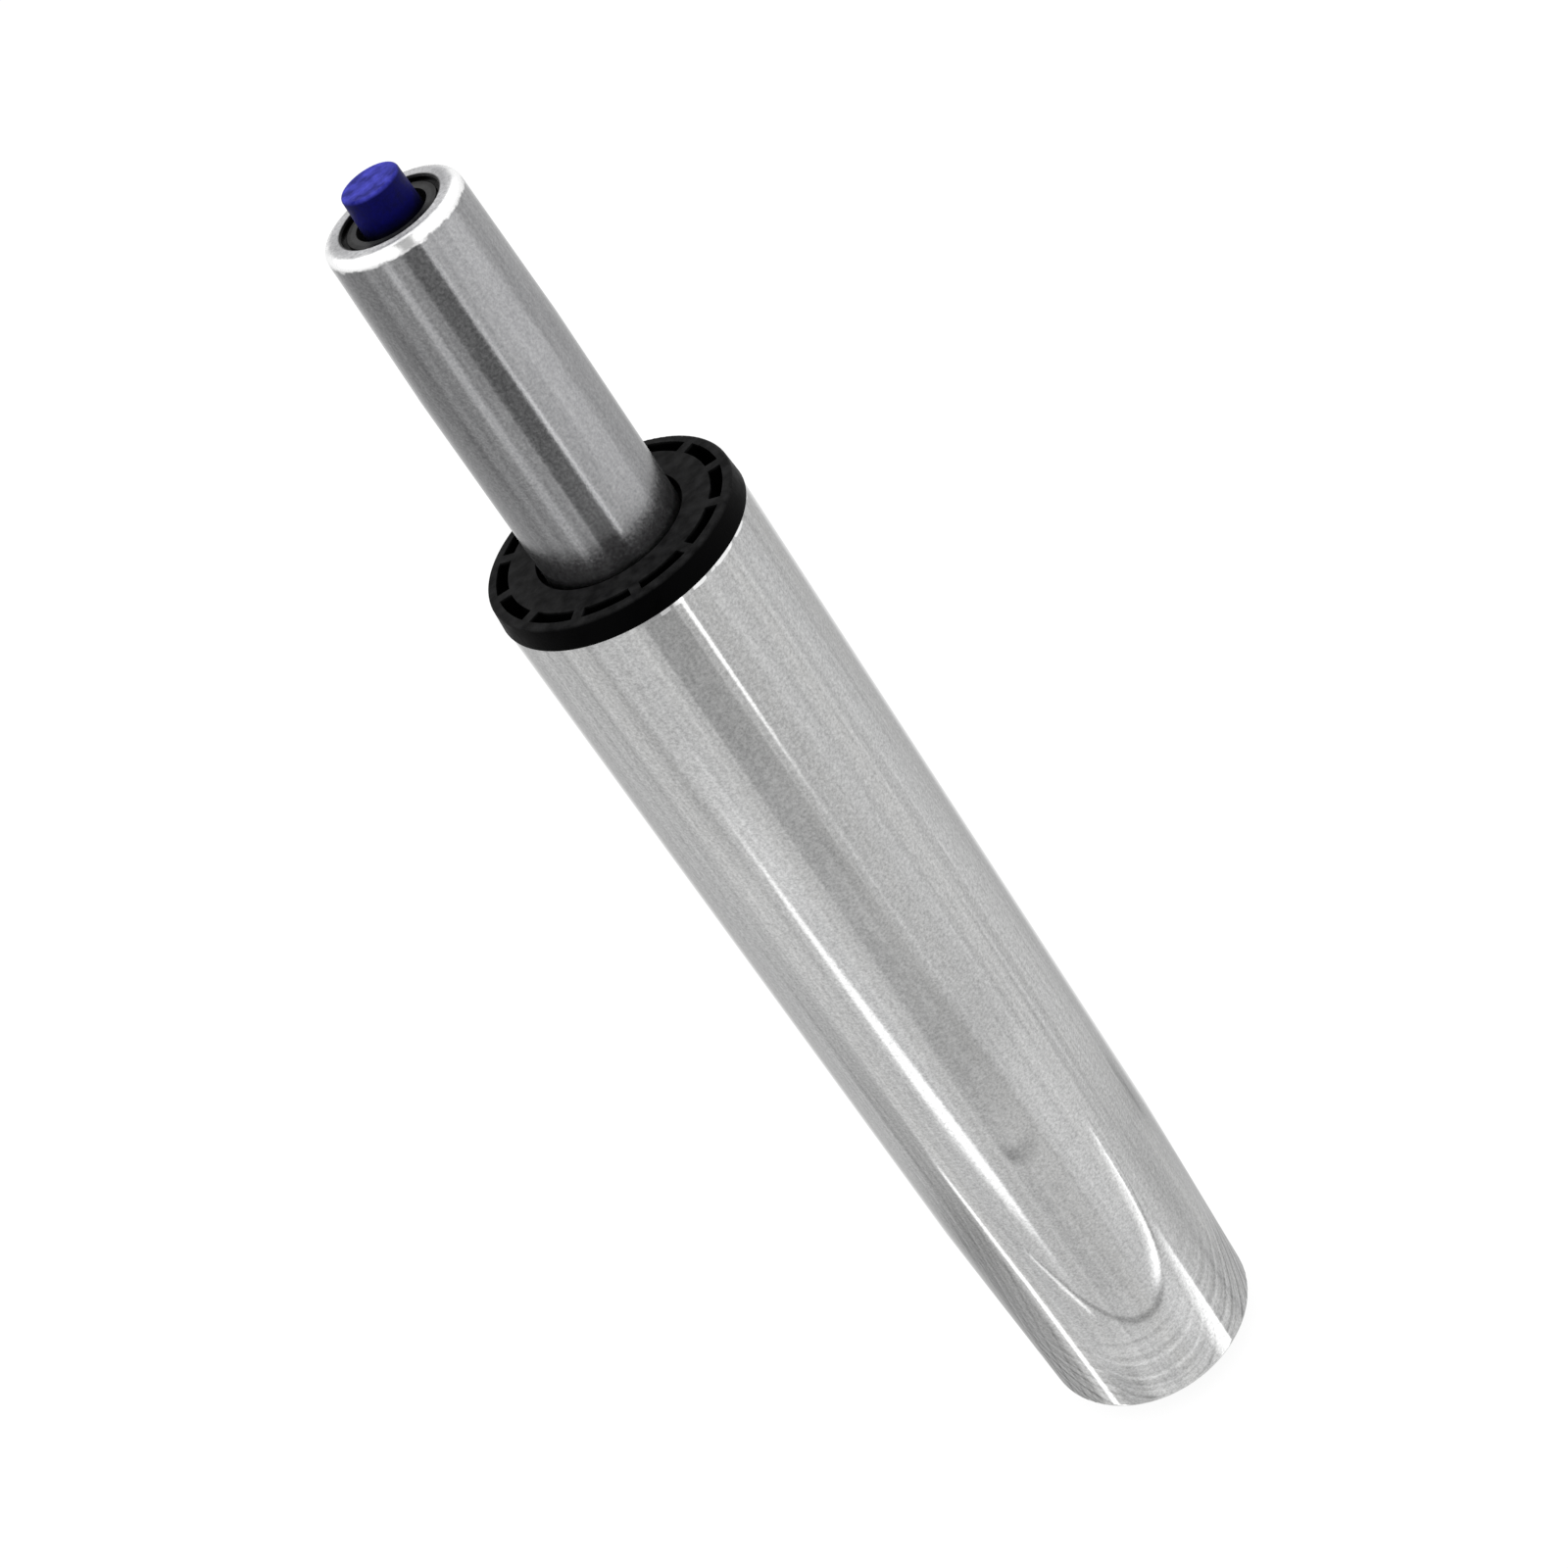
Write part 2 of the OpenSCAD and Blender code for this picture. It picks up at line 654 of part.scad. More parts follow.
// Valve pin, necked where gas passes when the button is pressed
module valve_pin() {
    color([0.75, 0.75, 0.77]) rotate_extrude() difference() {
        union() {
            translate([0, pin_head_z]) square([pin_r, pin_top_z - pin_head_z]);
            translate([0, pin_head_z]) square([pin_head_r, press_travel]);
        }
        translate([pin_r - pin_neck_depth, lantern_z + ring_play])
            square([pin_r, lantern_height - 2 * ring_play - press_travel / 2]);
        corner([pin_r, pin_top_z], edge_break / 2, 180, 270);
    }
}

// Plastic release button, with a flange that the closure disc keeps in
module release_button() {
    foot_z = flange_z + flange_thickness;
    slope = atan((button_d - button_top_d) / 2 / button_height);
    foot_button_r = button_d / 2 + (disc_top_z - foot_z) * tan(slope);
    color([0.13, 0.11, 0.6]) difference() {
        rotate_extrude() difference() {
            union() {
                translate([0, flange_z]) square([flange_r, flange_thickness]);
                polygon([[0, foot_z], [foot_button_r, foot_z], [button_top_d / 2, button_top_z],
                         [0, button_top_z]]);
            }
            corner([button_top_d / 2, button_top_z], button_edge_r, 180, 270 + slope);
        }
        translate([0, 0, flange_z - past])
            cylinder(r = pin_r + running_fit, h = pin_top_z - flange_z + ring_play + past);
    }
}

column_tube();
guide_sleeve();
bottom_plate();
lower_race();
bearing_cage();
bearing_balls();
upper_race();
thrust_washer();
bumper();
piston_rod();
piston();
piston_seal();
piston_nut();
rod_washer();
retaining_clip();
pressure_tube();
inner_tube();
rod_guide();
rod_guide_seal();
rod_seal();
backing_ring();
valve_body();
valve_body_seals();
pin_seals();
seal_spacers();
closure_disc();
valve_pin();
release_button();
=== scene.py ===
# The gas lift cylinder's looks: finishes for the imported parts, the studio, and the photograph's camera.
import math

import bpy
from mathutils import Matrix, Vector


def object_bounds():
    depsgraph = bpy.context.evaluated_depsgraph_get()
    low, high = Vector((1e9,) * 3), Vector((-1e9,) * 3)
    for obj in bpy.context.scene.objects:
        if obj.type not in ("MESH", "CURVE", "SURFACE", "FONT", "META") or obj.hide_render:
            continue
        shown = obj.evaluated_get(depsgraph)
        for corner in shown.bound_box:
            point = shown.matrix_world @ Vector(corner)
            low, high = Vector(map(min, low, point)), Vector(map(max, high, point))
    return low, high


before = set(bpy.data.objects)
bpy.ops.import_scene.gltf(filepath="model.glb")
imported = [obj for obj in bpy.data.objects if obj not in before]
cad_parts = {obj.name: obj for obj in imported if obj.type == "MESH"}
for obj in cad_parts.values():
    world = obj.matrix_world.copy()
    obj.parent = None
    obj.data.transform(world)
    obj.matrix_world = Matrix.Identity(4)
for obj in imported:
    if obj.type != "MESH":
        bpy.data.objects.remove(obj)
cad_low, cad_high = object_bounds()
scene = bpy.context.scene
scene.view_settings.view_transform = "Standard"

# Heights and radii that the finishes and the studio follow, in metres
COLUMN_R = 0.025
COLUMN_TOP = 0.235
COLLAR_TOP = 0.2398
DISC_TOP = 0.3123
DISC_R = 0.0087
BUTTON_TOP = 0.3193
FLOOR_Z = cad_low.z - 0.0003
FLOOR_REACH = 8

# The gas tube's rim, in metres: where its painted highlight starts, its flat ring, its inner lip with painted
# shade, and its crown
RIM_HIGHLIGHT = 0.3119
RIM_FLAT = 0.3124
LIP_TOP = 0.312
LIP_R = 0.01
CROWN_R = 0.0114

# The photograph's camera, and the turn at which it stands round the part
CAMERA_AT = Vector((0.0441212, -0.5146515, 0.533813))
CAMERA_ANGLES = (49.71654, 27.652823, -16.602123)
CAMERA_LENS = 76.49775
CAMERA_TURN = math.radians(4.9)
CAMERA_REACH = math.hypot(CAMERA_AT.x, CAMERA_AT.y)

# The column's taper, as half its angle
TAPER = math.radians(1.4378)

# Heights in the reflector's pattern, in millimetres: where the taper ends, and the column's own pattern
TAPER_TOP_MM = 56
COLLAR_MM = 238

# Plain brightness of the reflector on the column, and of the floor
PLAIN_GLOW = 0.87
FLOOR_GLOW = 0.88


# Camera

def make_camera():
    """Sees the object as the photograph does: from above, and rolled so that it leans to the left."""
    camera = bpy.data.objects.new("camera", bpy.data.cameras.new("camera"))
    camera.data.sensor_width = 36
    camera.data.lens = CAMERA_LENS
    camera.location = CAMERA_AT
    camera.rotation_euler = [math.radians(angle) for angle in CAMERA_ANGLES]
    scene.collection.objects.link(camera)
    scene.camera = camera


# Shader nodes

def node(tree, kind, inputs=None, **settings):
    """Adds a shader node, sets or links its inputs, and gives it back."""
    made = tree.nodes.new(kind)
    for key, value in settings.items():
        setattr(made, key, value)
    for key, value in (inputs or {}).items():
        if isinstance(value, bpy.types.NodeSocket):
            tree.links.new(value, made.inputs[key])
        else:
            made.inputs[key].default_value = value
    return made


def math_node(tree, operation, first, second=0.0):
    return node(tree, "ShaderNodeMath", {0: first, 1: second}, operation=operation).outputs[0]


def mix_node(tree, factor, first, second):
    return node(tree, "ShaderNodeMix", {"Factor": factor, "A": first, "B": second}).outputs[0]


def map_range(tree, value, low, high, to_low, to_high):
    """value taken smoothly from low..high to to_low..to_high, and held there outside."""
    inputs = {"Value": value, "From Min": low, "From Max": high, "To Min": to_low, "To Max": to_high}
    return node(tree, "ShaderNodeMapRange", inputs, interpolation_type="SMOOTHSTEP").outputs[0]


def dot(tree, first, second):
    return node(tree, "ShaderNodeVectorMath", {0: first, 1: second}, operation="DOT_PRODUCT").outputs["Value"]


# Studio

def make_world():
    """A pale room, dimmer towards the horizon and white behind everything. Metal shows it brighter, but for a
    grey patch behind the object and a darker strip in front."""
    world = bpy.data.worlds.new("studio")
    scene.world = world
    world.use_nodes = True
    tree = world.node_tree
    tree.nodes.clear()
    rays = node(tree, "ShaderNodeLightPath").outputs
    way = node(tree, "ShaderNodeTexCoord").outputs["Generated"]
    up = node(tree, "ShaderNodeSeparateXYZ", {0: way}).outputs["Z"]
    plain = map_range(tree, up, 0, 0.66, 0.2, 1)
    behind = Vector((-math.sin(CAMERA_TURN), math.cos(CAMERA_TURN), 0.6)).normalized()
    side = Vector((math.cos(CAMERA_TURN), math.sin(CAMERA_TURN), 0))
    front = Vector((math.sin(CAMERA_TURN), -math.cos(CAMERA_TURN), 0))
    patch = map_range(tree, dot(tree, way, behind), 0.8, 0.93, 0, 1)
    gloss = mix_node(tree, patch, map_range(tree, up, 0, 0.5, 1.0, 1.6), 0.86)
    off = math_node(tree, "ABSOLUTE", math_node(tree, "ADD", dot(tree, way, side), 0.085))
    strip = math_node(tree, "MULTIPLY", map_range(tree, off, 0.1, 0.3, 1, 0),
                      map_range(tree, dot(tree, way, front), -0.1, 0.2, 0, 1))
    gloss = mix_node(tree, strip, gloss, 0.5)
    light = mix_node(tree, rays["Is Glossy Ray"], plain, gloss)
    light = mix_node(tree, rays["Is Camera Ray"], light, 1.0)
    shader = node(tree, "ShaderNodeBackground", {"Strength": light, "Color": (1, 1, 1, 1)})
    tree.links.new(shader.outputs[0], node(tree, "ShaderNodeOutputWorld").inputs[0])


def stage_material(name):
    """A material for the stage with an empty node tree."""
    material = bpy.data.materials.new(name)
    material.use_nodes = True
    material.node_tree.nodes.clear()
    return material


def stage_mesh(name, points, faces, material):
    mesh = bpy.data.meshes.new(name)
    mesh.from_pydata(points, [], faces)
    mesh.materials.append(material)
    made = bpy.data.objects.new(name, mesh)
    scene.collection.objects.link(made)
    return made


def make_floor():
    """White to the eye and in the metal, and keeps the object's shadow."""
    material = stage_material("floor")
    tree = material.node_tree
    rays = node(tree, "ShaderNodeLightPath").outputs
    seen = math_node(tree, "MAXIMUM", rays["Is Camera Ray"], rays["Is Glossy Ray"])
    seen = math_node(tree, "MAXIMUM", seen, rays["Is Transmission Ray"])
    matt = node(tree, "ShaderNodeBsdfDiffuse", {"Color": (0.2, 0.2, 0.2, 1)})
    glow = node(tree, "ShaderNodeEmission", {"Strength": math_node(tree, "MULTIPLY", seen, FLOOR_GLOW)})
    both = node(tree, "ShaderNodeAddShader", {0: matt.outputs[0], 1: glow.outputs[0]})
    tree.links.new(both.outputs[0], node(tree, "ShaderNodeOutputMaterial").inputs[0])
    corners = [(x * FLOOR_REACH, y * FLOOR_REACH, FLOOR_Z) for x, y in ((-1, -1), (1, -1), (1, 1), (-1, 1))]
    stage_mesh("floor", corners, [(0, 1, 2, 3)], material)


# The reflector's pattern: turns in degrees from the camera's side, heights in millimetres

def smooth(x, low, high):
    """0 below low and 1 above high, with a soft rise between."""
    t = min(max((x - low) / (high - low), 0), 1)
    return t * t * (3 - 2 * t)


def band(x, low, high, soft):
    """1 between low and high, falling to 0 over soft outside each."""
    return smooth(x, low - soft, low) * (1 - smooth(x, high, high + soft))


def path(x, *points):
    """The value at x on a line through points, each a pair of x and value."""
    for (x0, y0), (x1, y1) in zip(points, points[1:]):
        if x <= x1:
            break
    return y0 + (y1 - y0) * min(max((x - x0) / (x1 - x0), 0), 1)


def ripple(x, seed=0.0):
    """Uneven waves between about -1 and 1."""
    waves = math.sin(x + seed) + math.sin(1.73 * x + 2.1 * seed + 1) + math.sin(2.91 * x + 3.7 * seed + 2)
    return waves / 2.2


def bowl(turn, reach, foot, depth):
    """Height of a curve that opens upwards, lowest at turn 0 and steepest at its reach."""
    side = min(abs(turn) / reach, 0.995)
    return foot + depth * (1 / math.sqrt(1 - side * side) - 1)


def bowl_reach(turn, height):
    """Reach of the bowl through a point. Under all bowls it is large."""
    rise = 1 + max(height - 28, 0.4) / 45
    return min(abs(turn) / math.sqrt(1 - 1 / rise ** 2), 90)


def flanks(value, turn, height):
    """Darker towards both sides, streaked at the lower left, with a few lines along the axis."""
    value -= (0.2 + 0.04 * ripple(height * 0.35 + turn * 1.7, 4)) * smooth(abs(turn), 48, 72)
    depth = 0.07 + 0.16 * (1 - smooth(height, 90, 180))
    value -= depth * band(turn, -57, -47, 3) * smooth(height, 40, 90)
    streaks = 0.3 + 0.08 * ripple(height * 0.3 - turn * 0.9) + 0.04 * ripple(height * 0.8 + turn, 1)
    value -= streaks * smooth(-turn, 45, 47.5) * (1 - smooth(height, 54, 92))
    value -= 0.17 * smooth(turn, 33, 44) * (1 - smooth(height, 45, 95))
    value -= 0.1 * band(turn, 57.2, 59, 1.5) * smooth(height, 150, 200)
    value -= 0.06 * band(turn, 41, 42.2, 0.8) * smooth(height, 60, 90)
    value += 0.08 * band(turn, 38.5, 39.5, 1.2) * smooth(height, 70, 110)
    value += 0.08 * band(turn, -44, -40, 1.5)
    value -= 0.15 * band(turn, 65, 67, 3) * band(height, 66, 74, 10)
    value += 0.12 * smooth(turn, 46, 60) * band(height, 26, 56, 10)
    return value - 0.2 * band(turn, -33, -23, 4) * (1 - smooth(height, 8, 20))


def thin_lines(value, turn, height):
    """Long thin lines that curve in at the lower end."""
    left = path(height, (60, -34), (80, -38.5), (110, -40.5), (170, -42))
    value -= 0.1 * band(turn, left - 0.2, left + 0.2, 0.9) * band(height, 64, 140, 30)
    right = path(height, (58, 31), (80, 35), (110, 37), (180, 40.5))
    value -= 0.09 * band(turn, right - 0.3, right + 0.3, 1) * band(height, 62, 150, 30)
    return value + 0.06 * band(turn, right - 3.2, right - 2, 1.5) * band(height, 90, 150, 30)


def dark_band(value, turn, height):
    """Broad dark band towards the camera with a rounded foot, a ring under it, and places of other tone."""
    foot = bowl(turn + 3, 16, 92, 24)
    soft = path(height, (95, 5), (150, 1.6), (220, 0.8))
    dark = band(turn, -9.6, 4, soft) * smooth(height, foot - 20, foot + 10)
    tone = path(height, (90, 0.74), (120, 0.73), (150, 0.77), (172, 0.71), (190, 0.7), (228, 0.62))
    value += dark * (tone + 0.02 * ripple(height * 0.08) - value)
    value -= 0.09 * band(turn, -11, 1, 5) * band(height, 42, 72, 12)
    value += 0.12 * band(turn, 14, 27, 6) * band(height, 58, 100, 18)
    value += 0.14 * band(turn, 13, 26, 5) * band(height, 14, 36, 8)
    value -= 0.1 * band(turn, -42, -34, 3) * smooth(height, 165, 195)
    value -= 0.08 * (band(turn, -48.6, -47.4, 1) + band(turn, -36.6, -35.4, 1)) * smooth(height, 170, 200)
    uneven = 1.1 + 0.3 * ripple(height * 0.11 + turn * 0.2)
    value -= 0.07 * band(turn, -7, 7, 8) * band(height, 112, 240, 25) * uneven
    ring = band(height - bowl(turn + 4, 16, 84, 14), -1, 1, 2.5)
    return value - path(turn, (-9, 0.34), (3, 0.14)) * ring * (1 - smooth(abs(turn + 4), 7, 10))


def bright_line(value, turn, height):
    """Thin line beside the dark band."""
    half = path(height, (185, 0.05), (228, 0.4))
    line = band(turn, 8.45 - half, 8.45 + half, 0.8)
    value += line * smooth(height, 180, 222) * (1.9 - value)
    return value + 0.13 * line * smooth(height, 128, 140)


def wedge(value, turn, height):
    """Long bright wedge on the left."""
    left = path(height, (45, -22), (59, -22.4), (79, -26.6), (94, -28.3), (109, -29), (160, -29.2),
                (200, -28.6))
    right = path(height, (79, -21.1), (94, -21.7), (134, -24.8), (159, -26.6), (190, -27.9), (200, -28.2))
    value += 0.1 * band(turn, left, -18, 2.5) * smooth(height, 70, 110) * (1 - smooth(height, 180, 205))
    value += 0.12 * band(turn, right, right + 5, 2.5) * band(height, 172, 200, 15)
    soft = path(height, (50, 8), (80, 6), (110, 2.4))
    inside = smooth(turn, left - soft * 0.4, left + soft * 0.6) * (1 - smooth(turn, right - 1.2, right + 1))
    return value + inside * smooth(height, 38, 70) * (1 - smooth(height, 162, 204)) * (1.95 - value)


def foot_lines(value, turn, height):
    """Bright lines at the lower left and right."""
    middle = path(height, (5, -40.4), (46, -42.2), (92, -45.6))
    half = path(height, (5, 1), (40, 0.8), (92, 0.2))
    line = band(turn, middle - half, middle + half, 0.9) * (1 - smooth(height, 78, 94))
    value += line * (2.1 - value)
    start = path(height, (3, 18), (38, 25))
    line = smooth(turn, start - 2, start + 6.5) * (1 - smooth(turn, 28, 28.8)) * (1 - smooth(height, 32, 50))
    return value + line * (2 - value)


def foot_curves(value, turn, height):
    """Bright and dark curves at the lower end."""
    above = height - bowl(turn, 30, 28, 24)
    right = smooth(turn, 8, 20) * (1 - smooth(turn, 28.4, 29.4)) * (1 - smooth(height, 66, 84))
    value += 0.7 * right * band(above, 1, path(turn, (10, 1.5), (26, 4)), 3)
    end = path(turn, (12, 6), (20, 14), (27, 38))
    value += 0.8 * right * smooth(above, 0, 2) * (1 - smooth(above, 2, end))
    arc = bowl(turn, 36, 26, 46.8)
    if turn < -7:
        arc = path(turn, (-36, 70), (-33, 63), (-28, 51), (-22.6, 40), (-17, 33), (-12, 29), (-7, 26.9))
    value -= 0.36 * band(height - arc, -0.4, 0.8, 1.2) * (1 - smooth(abs(turn), 29, 37))
    above = height - path(turn, (-31.8, 59), (-26.6, 44.9), (-21.4, 34))
    return value + 0.9 * band(above, -1, 0.3, 2) * band(turn, -30, -23, 2.5)


def fine_rings(value, turn, height):
    """Fine rings at the very foot, arched on the flanks."""
    inner = 1 - smooth(abs(turn + 5), 25, 33)
    rings = ripple(bowl(turn + 5, 36, -height, 12) * 1.3)
    low = 1 - smooth(height, 18, 30)
    value += low * inner * (0.07 + (0.2 + 0.08 * ripple(turn * 0.3)) * rings)
    arch = height - 0.014 * (abs(turn) - 27) ** 2
    return value + 0.22 * (1 - inner) * (1 - smooth(height, 8, 46)) * ripple(arch * 1.1)


def column_glow(turn, height):
    """Brightness that the column shows."""
    value = PLAIN_GLOW + 0.022 * ripple(turn * 0.8 + 0.004 * height)
    value += path(abs(turn), (30, 0.014), (50, 0.045)) * ripple(turn * 2.4 + 0.01 * height, 1)
    reach = bowl_reach(turn, height)
    arcs = 0.05 * ripple(reach * 1.15, 2) * smooth(reach, 22, 30)
    value += arcs * (1 - smooth(height, 150, 200)) * smooth(height, 18, 30)
    for part in (flanks, thin_lines, dark_band, bright_line, wedge, foot_lines, foot_curves, fine_rings):
        value = part(value, turn, height)
    return value


def tube_glow(turn, height):
    """Brightness that the gas tube shows."""
    value = path(turn, (-60, 0.53), (-46, 0.38), (-34, 0.52), (-27, 0.57), (-16, 0.63), (-9.6, 0.52),
                 (3.5, 0.93), (16, 1.25), (28, 1.42), (40, 1.4), (44, 0.9))
    value -= 0.12 * (1 - smooth(height, 246, 262)) * band(turn, -45, -35, 9)
    value += 0.05 * ripple(turn * 0.7 + 0.01 * height, 1)
    value += 0.15 * band(turn, -41, -37, 3) + 0.62 * band(turn, -25.5, -21.5, 2.5)
    value += 0.45 * band(turn, -12.8, -11, 0.8) * (1 - smooth(height, 262, 272))
    value += band(turn, -9.9, 4.5, 0.8) * (0.144 - value)
    value += band(turn, 6.2, 7.8, 0.8) * (path(height, (254, 4.3), (268, 2.7), (284, 1.2)) - value)
    return value * (1 - 0.28 * (1 - smooth(height, 238, 256)) * (1 - smooth(abs(turn), 38, 54)))


def reflector(turn, height):
    """Brightness of the reflector where the column, or the gas tube above it, shows it. It turns plain behind
    and far away."""
    share = smooth(height, 234, path(abs(turn), (44, 248), (60, 285), (80, 330)))
    value = 0
    if share < 1:
        value += (1 - share) * column_glow(turn, min(height, COLLAR_MM))
    if share > 0:
        value += share * tube_glow(turn, height)
    behind = path(turn, (-90, 0.9), (-83, 0.86), (-75, 0.64), (-64, 0.68), (64, 0.62), (73, 0.6), (81, 0.9),
                  (90, 0.9))
    value += smooth(abs(turn), 62, 78) * (behind * (1 + 0.2 * share) - value)
    return value + smooth(height, 350, 415) * (FLOOR_GLOW - value)


# The reflector itself

def reflector_rows():
    """Heights of the sheet's rows: closer where the pattern is fine, and two where the taper ends."""
    foot = [h / 2 for h in range(-8, 80)]
    taper = list(range(40, TAPER_TOP_MM)) + [TAPER_TOP_MM - 0.01]
    column = list(range(TAPER_TOP_MM, 230, 2)) + [h / 2 for h in range(460, 2 * COLLAR_MM)]
    tube = list(range(COLLAR_MM, 260, 2)) + list(range(260, 420, 4))
    return foot + taper + column + tube


def mirrored(turn, height):
    """Where the camera sees the floor in the column at a turn in radians, and the column's radius there."""
    tilt = TAPER if height < TAPER_TOP_MM else 0
    radius = COLUMN_R - max(TAPER_TOP_MM - height, 0) / 1000 * math.tan(TAPER)
    out = Vector((math.sin(turn), -math.cos(turn), 0))
    spot = out * radius + Vector((0, 0, height / 1000))
    normal = out * math.cos(tilt) - Vector((0, 0, math.sin(tilt)))
    ray = spot - Vector((0, -CAMERA_REACH, CAMERA_AT.z))
    ray -= 2 * ray.dot(normal) * normal
    return spot + ray * ((spot.z - FLOOR_Z) / -ray.z), radius


def make_reflector():
    """A patterned sheet on the floor that only polished surfaces show. Its points lie where the column,
    seen by the camera, shows the floor. The pattern's turn is that of a column without its taper."""
    turns = [math.radians(half * 0.5) for half in range(-180, 181)]
    rows = reflector_rows()
    points, glow = [], []
    for height in rows:
        for turn in turns:
            hit, radius = mirrored(turn, height)
            points.append((hit.x, hit.y, FLOOR_Z + 0.0001))
            shown = math.degrees(math.asin(math.sin(turn) * radius / COLUMN_R))
            glow.append(reflector(shown, height))
    n = len(turns)
    faces = [(i * n + j, i * n + (j + 1) % n, (i + 1) * n + (j + 1) % n, (i + 1) * n + j)
             for i in range(len(rows) - 1) for j in range(n)]
    material = stage_material("reflector")
    tree = material.node_tree
    value = node(tree, "ShaderNodeAttribute", attribute_name="glow").outputs["Fac"]
    shader = node(tree, "ShaderNodeEmission", {"Strength": value})
    tree.links.new(shader.outputs[0], node(tree, "ShaderNodeOutputMaterial").inputs[0])
    sheet = stage_mesh("reflector", points, faces, material)
    sheet.data.attributes.new("glow", "FLOAT", "POINT").data.foreach_set("value", glow)
    sheet.rotation_euler.z = CAMERA_TURN
    sheet.visible_camera = sheet.visible_diffuse = sheet.visible_shadow = sheet.visible_transmission = False


# Finishes

class Finish:
    """One node material. Patterns follow the object's own metres: x and y across, z along the axis."""

    def __init__(self, name, metallic=0.0, specular=0.5):
        self.material = bpy.data.materials.new(name)
        self.material.use_nodes = True
        self.tree = self.material.node_tree
        self.shader = self.tree.nodes["Principled BSDF"]
        self.shader.inputs["Metallic"].default_value = metallic
        self.shader.inputs["Specular IOR Level"].default_value = specular
        self.place = node(self.tree, "ShaderNodeTexCoord").outputs["Object"]
        self.xyz = node(self.tree, "ShaderNodeSeparateXYZ", {0: self.place}).outputs
        self.normal = None

    def math(self, operation, first, second=0.0):
        return math_node(self.tree, operation, first, second)

    def stretched(self, across, along):
        """Coordinates for streaks along the axis, or with a large along, rings round it."""
        inputs = {"Vector": self.place, "Scale": (across, across, along)}
        return node(self.tree, "ShaderNodeMapping", inputs).outputs[0]

    def distance(self):
        """Distance from the axis."""
        across = node(self.tree, "ShaderNodeCombineXYZ", {"X": self.xyz["X"], "Y": self.xyz["Y"]}).outputs[0]
        return node(self.tree, "ShaderNodeVectorMath", {0: across}, operation="LENGTH").outputs["Value"]

    def turned(self, radial, along):
        """Coordinates for turning marks: rings on faces and round sides alike."""
        inputs = {"X": self.math("MULTIPLY", self.distance(), radial),
                  "Z": self.math("MULTIPLY", self.xyz["Z"], along)}
        return node(self.tree, "ShaderNodeCombineXYZ", inputs).outputs[0]

    def noise(self, vector, scale=1.0, detail=2.0, rough=0.5):
        inputs = {"Vector": vector, "Scale": scale, "Detail": detail, "Roughness": rough}
        return node(self.tree, "ShaderNodeTexNoise", inputs).outputs["Fac"]

    def remap(self, value, low, high, to_low=0.0, to_high=1.0):
        inputs = {"Value": value, "From Min": low, "From Max": high, "To Min": to_low, "To Max": to_high}
        return node(self.tree, "ShaderNodeMapRange", inputs, clamp=True).outputs[0]

    def weighted(self, first, second, share):
        """Two patterns added up: a share of first, and the rest of second."""
        return self.math("ADD", self.math("MULTIPLY", first, share), self.math("MULTIPLY", second, 1 - share))

    def mix(self, factor, first, second):
        """A colour between first and second, each a socket or three numbers."""
        mixed = node(self.tree, "ShaderNodeMix", {"Factor": factor}, data_type="RGBA")
        for socket, value in ((mixed.inputs[6], first), (mixed.inputs[7], second)):
            if isinstance(value, bpy.types.NodeSocket):
                self.tree.links.new(value, socket)
            else:
                socket.default_value = (*value, 1)
        return mixed.outputs[2]

    def colour(self, value):
        self.tree.links.new(value, self.shader.inputs["Base Color"])

    def roughness(self, value):
        self.tree.links.new(value, self.shader.inputs["Roughness"])

    def bump(self, value, distance):
        """Adds a relief to those already there."""
        inputs = {"Height": value, "Distance": distance}
        if self.normal is not None:
            inputs["Normal"] = self.normal
        self.normal = node(self.tree, "ShaderNodeBump", inputs).outputs[0]
        self.tree.links.new(self.normal, self.shader.inputs["Normal"])


def column_chrome():
    """Bright chrome over a ground tube: axial streaks, a fine sparkle, scuffs where it wedges in the base,
    and a painted highlight: a white line on one side just under the collar."""
    f = Finish("column_chrome", metallic=1.0)
    streaks = f.noise(f.stretched(620, 7), detail=4, rough=0.6)
    broad = f.noise(f.stretched(160, 4), detail=2)
    grain = f.noise(f.place, 1700, detail=3, rough=0.75)
    tone = f.remap(f.weighted(streaks, grain, 0.25), 0.35, 0.65)
    cool = f.mix(tone, (0.39, 0.394, 0.4), (0.7, 0.705, 0.71))
    warm = f.mix(tone, (0.39, 0.388, 0.38), (0.7, 0.697, 0.685))
    # Painted highlight: white base colour in a ragged line just under the collar, on one side only.
    glint_noise = f.noise(f.stretched(230, 60), detail=3)
    edge_glint = f.remap(f.math("ADD", glint_noise, f.math("MULTIPLY", f.xyz["X"], 5.5)), 0.53, 0.56)
    close = f.math("ADD", f.xyz["Z"], f.math("MULTIPLY", glint_noise, 0.0018))
    edge_glint = f.math("MULTIPLY", edge_glint, f.remap(close, COLUMN_TOP, COLUMN_TOP + 0.0001))
    f.colour(f.mix(edge_glint, f.mix(broad, cool, warm), (1, 1, 1)))
    scuff = f.math("MULTIPLY", f.remap(f.xyz["Z"], 0.062, 0.03), f.noise(f.turned(900, 1500), detail=3))
    f.roughness(f.math("ADD", f.remap(grain, 0.3, 0.7, 0.03, 0.06), f.math("MULTIPLY", scuff, 0.03)))
    f.bump(streaks, 0.000004)
    return f.material


